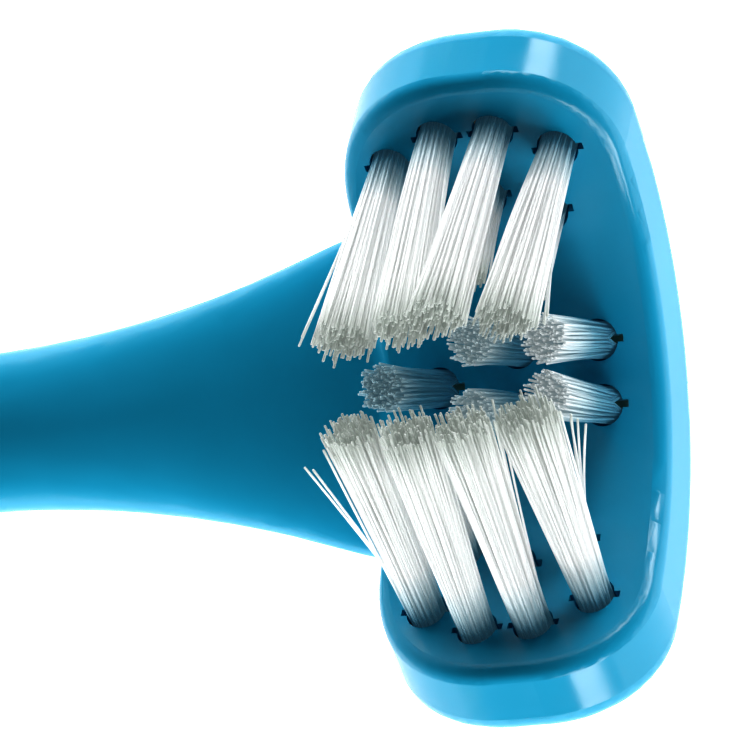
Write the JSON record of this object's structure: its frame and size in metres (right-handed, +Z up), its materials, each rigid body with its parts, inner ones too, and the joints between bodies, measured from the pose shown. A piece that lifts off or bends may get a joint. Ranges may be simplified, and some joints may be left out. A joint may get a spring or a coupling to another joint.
{
  "type": "pet toothbrush",
  "caption": "Pet toothbrush with a saddle-shaped three-sided head: side tufts on two raised lobes lean inwards over a floor of shorter tufts, on a long moulded handle.",
  "frame": {"origin": "middle of the bounding box, in the plane of the flat back the brush lies on", "axes": "+X along the handle towards the head, +Y across the head towards the left lobe, +Z up, the way the floor tufts point"},
  "size_m": [0.186, 0.031, 0.0169],
  "materials": {
    "body": "glossy moulded plastic, cyan blue",
    "bristle": "white nylon filament",
    "anchor": "bright strip"
  },
  "bodies": {
    "root": {"anchor_left_floor_2": "anchor", "anchor_left_floor_3": "anchor", "anchor_left_inner_1": "anchor", "anchor_left_inner_2": "anchor", "anchor_left_inner_3": "anchor", "anchor_left_outer_1": "anchor", "anchor_left_outer_2": "anchor", "anchor_left_outer_3": "anchor", "anchor_left_outer_4": "anchor", "anchor_middle_floor_1": "anchor", "anchor_right_floor_2": "anchor", "anchor_right_floor_3": "anchor", "anchor_right_inner_1": "anchor", "anchor_right_inner_2": "anchor", "anchor_right_inner_3": "anchor", "anchor_right_outer_1": "anchor", "anchor_right_outer_2": "anchor", "anchor_right_outer_3": "anchor", "anchor_right_outer_4": "anchor", "brush_body": "body", "tuft_left_floor_2": "bristle", "tuft_left_floor_3": "bristle", "tuft_left_inner_1": "bristle", "tuft_left_inner_2": "bristle", "tuft_left_inner_3": "bristle", "tuft_left_outer_1": "bristle", "tuft_left_outer_2": "bristle", "tuft_left_outer_3": "bristle", "tuft_left_outer_4": "bristle", "tuft_middle_floor_1": "bristle", "tuft_right_floor_2": "bristle", "tuft_right_floor_3": "bristle", "tuft_right_inner_1": "bristle", "tuft_right_inner_2": "bristle", "tuft_right_inner_3": "bristle", "tuft_right_outer_1": "bristle", "tuft_right_outer_2": "bristle", "tuft_right_outer_3": "bristle", "tuft_right_outer_4": "bristle"}
  },
  "joints": []
}
